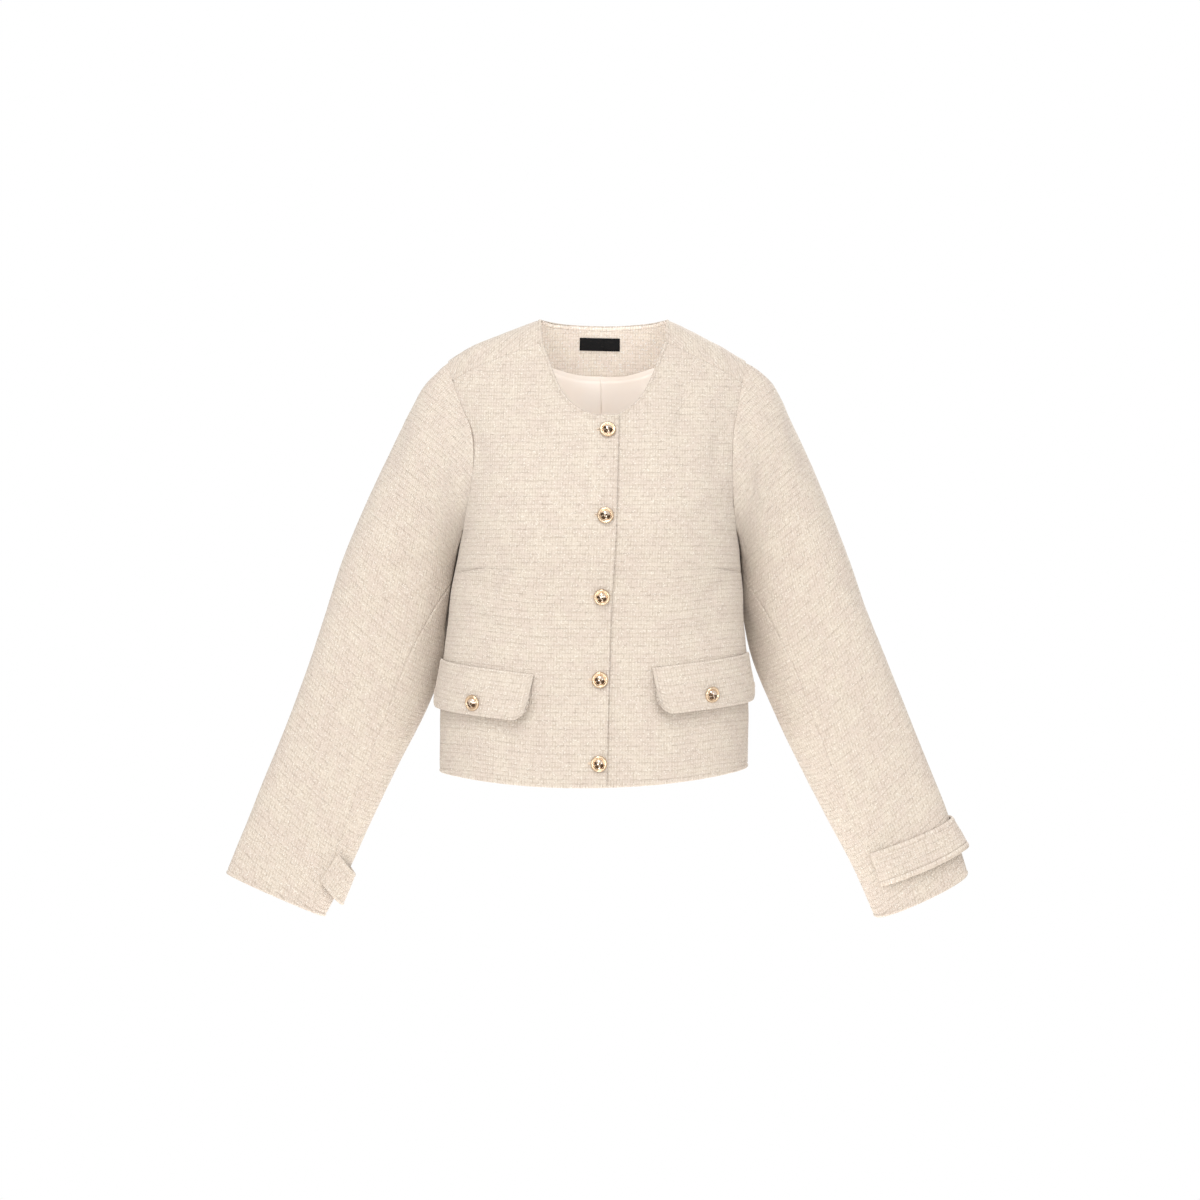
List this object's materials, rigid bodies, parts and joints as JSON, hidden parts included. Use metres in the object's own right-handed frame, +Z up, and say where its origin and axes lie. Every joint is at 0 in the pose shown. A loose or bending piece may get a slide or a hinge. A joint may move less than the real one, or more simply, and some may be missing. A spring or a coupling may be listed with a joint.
{
  "type": "cropped tweed jacket",
  "caption": "Short collarless jacket in tweed with a round neck, front buttons, long two-piece sleeves, cuff straps and buttoned pocket flaps, filled out as if worn.",
  "frame": {"origin": "the middle of the neck opening, level with the back neck edge, where the wearer's neck holds the jacket up", "axes": "+X to the wearer's left, -Y to the front, +Z up"},
  "size_m": [0.8513, 0.2331, 0.6882],
  "materials": {
    "tweed": "cream boucle tweed, basket weave, matte",
    "lining": "plain satin lining with a soft sheen",
    "label": "black woven tape, bare",
    "gilt": "polished pale gilt"
  },
  "bodies": {
    "root": {"front_right": "tweed", "front_left": "tweed", "back": "tweed", "sleeve_upper_right": "tweed", "sleeve_upper_left": "tweed", "sleeve_under_right": "tweed", "sleeve_under_left": "tweed", "cuff_strap_right": "tweed", "cuff_strap_left": "tweed", "flap_right": "tweed", "flap_left": "tweed", "neck_facing": "tweed", "button_1": "gilt", "button_2": "gilt", "button_3": "gilt", "button_4": "gilt", "button_5": "gilt", "flap_button_right": "gilt", "flap_button_left": "gilt", "back_lining": "lining", "label": "label"}
  },
  "joints": []
}
